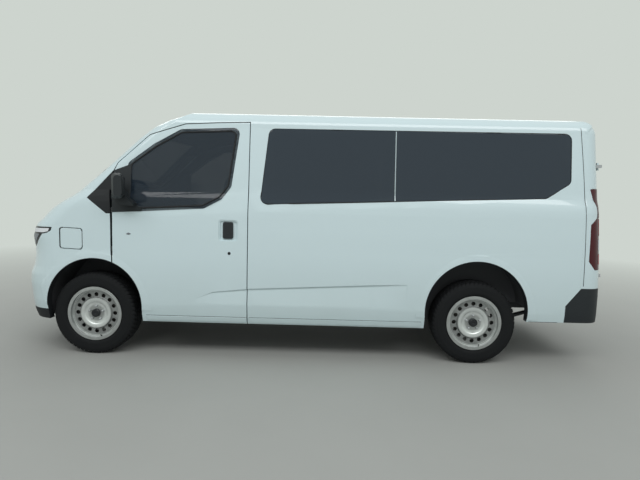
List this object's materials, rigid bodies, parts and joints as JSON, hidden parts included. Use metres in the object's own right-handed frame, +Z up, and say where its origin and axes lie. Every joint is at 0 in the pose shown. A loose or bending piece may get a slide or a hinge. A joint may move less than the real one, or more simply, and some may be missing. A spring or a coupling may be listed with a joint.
{
  "type": "minibus",
  "caption": "Compact electric minibus with hinged cab doors, hood, charging flap and twin rear doors, steered front wheels and freely turning wheels.",
  "frame": {"origin": "on the ground under the middle of the vehicle's bounding box", "axes": "+X forward, +Y to the vehicle's left, +Z up"},
  "size_m": [4.85, 2.224, 2.0049],
  "materials": {
    "body_paint": "gloss white paint with a cool tint",
    "black_plastic": "grained",
    "glass": "dark tinted",
    "headlamp": "clear over black",
    "tail_lamp": "deep red",
    "floor_steel": "satin black",
    "battery_case": "bare cast",
    "tyre_rubber": "matte",
    "wheel_steel": "silver lacquer",
    "cabin_plastic": "grained",
    "hinge_steel": "body colour paint",
    "seat_fabric": "woven"
  },
  "bodies": {
    "body": {"front_bumper": "body_paint", "cowl": "black_plastic", "fenders": "body_paint", "headlamps": "headlamp", "body_sides": "body_paint", "sliding_door": "body_paint", "roof": "body_paint", "fixed_glass": "glass", "rear_frame": "body_paint", "tail_lamps": "tail_lamp", "rear_bumper": "black_plastic", "wheel_houses": "black_plastic", "floor_pan": "floor_steel", "chassis_rails": "floor_steel", "battery_pack": "battery_case", "drive_unit": "battery_case", "suspension_arms": "floor_steel", "rear_axle": "floor_steel", "leaf_springs": "floor_steel", "dashboard": "cabin_plastic", "steering_wheel": "cabin_plastic", "seats": "seat_fabric", "door_hinges": "hinge_steel"},
    "hood": {"hood": "body_paint"},
    "charge_flap": {"charge_flap": "body_paint"},
    "front_door_left": {"door_front_left": "body_paint", "door_glass_left": "glass", "mirror_left": "black_plastic"},
    "front_door_right": {"door_front_right": "body_paint", "door_glass_right": "glass", "mirror_right": "black_plastic"},
    "rear_door_left": {"rear_door_left": "body_paint", "rear_glass_left": "glass"},
    "rear_door_right": {"rear_door_right": "body_paint", "rear_glass_right": "glass"},
    "knuckle_left": {"knuckle_left": "floor_steel"},
    "knuckle_right": {"knuckle_right": "floor_steel"},
    "wheel_front_left": {"tyre_front_left": "tyre_rubber", "rim_front_left": "wheel_steel"},
    "wheel_front_right": {"tyre_front_right": "tyre_rubber", "rim_front_right": "wheel_steel"},
    "wheel_rear_left": {"tyre_rear_left": "tyre_rubber", "rim_rear_left": "wheel_steel"},
    "wheel_rear_right": {"tyre_rear_right": "tyre_rubber", "rim_rear_right": "wheel_steel"}
  },
  "joints": [
    {"name": "hood_hinge", "type": "hinge", "parent": "body", "child": "hood", "pos_m": [1.848, 0, 1.321], "axis": [0, -1, 0], "range_deg": [0, 50]},
    {"name": "charge_flap_hinge", "type": "hinge", "parent": "body", "child": "charge_flap", "pos_m": [1.93, 0.882, 0.95], "axis": [0, 0, -1], "range_deg": [0, 85]},
    {"name": "front_door_left_hinge", "type": "hinge", "parent": "body", "child": "front_door_left", "pos_m": [1.493, 0.85, 1], "axis": [0, 0, -1], "range_deg": [0, 65]},
    {"name": "front_door_right_hinge", "type": "hinge", "parent": "body", "child": "front_door_right", "pos_m": [1.493, -0.85, 1], "axis": [0, 0, 1], "range_deg": [0, 65]},
    {"name": "rear_door_left_hinge", "type": "hinge", "parent": "body", "child": "rear_door_left", "pos_m": [-2.409, 0.708, 0.655], "axis": [-0.0546, 0, -0.9985], "range_deg": [0, 100]},
    {"name": "rear_door_right_hinge", "type": "hinge", "parent": "body", "child": "rear_door_right", "pos_m": [-2.409, -0.708, 0.655], "axis": [0.0546, 0, 0.9985], "range_deg": [0, 100]},
    {"name": "steer_left", "type": "hinge", "parent": "body", "child": "knuckle_left", "pos_m": [1.69, 0.712, 0.334], "axis": [0, 0, 1], "range_deg": [-34, 34]},
    {"name": "steer_right", "type": "hinge", "parent": "body", "child": "knuckle_right", "pos_m": [1.69, -0.712, 0.334], "axis": [0, 0, 1], "range_deg": [-34, 34]},
    {"name": "wheel_front_left_spin", "type": "hinge", "parent": "knuckle_left", "child": "wheel_front_left", "pos_m": [1.69, 0.751, 0.334], "axis": [0, 1, 0], "continuous": true},
    {"name": "wheel_front_right_spin", "type": "hinge", "parent": "knuckle_right", "child": "wheel_front_right", "pos_m": [1.69, -0.751, 0.334], "axis": [0, 1, 0], "continuous": true},
    {"name": "wheel_rear_left_spin", "type": "hinge", "parent": "body", "child": "wheel_rear_left", "pos_m": [-1.385, 0.751, 0.334], "axis": [0, 1, 0], "continuous": true},
    {"name": "wheel_rear_right_spin", "type": "hinge", "parent": "body", "child": "wheel_rear_right", "pos_m": [-1.385, -0.751, 0.334], "axis": [0, 1, 0], "continuous": true}
  ],
  "couplings": [
    {"joint": "steer_right", "follows": "steer_left", "ratio": 1}
  ]
}
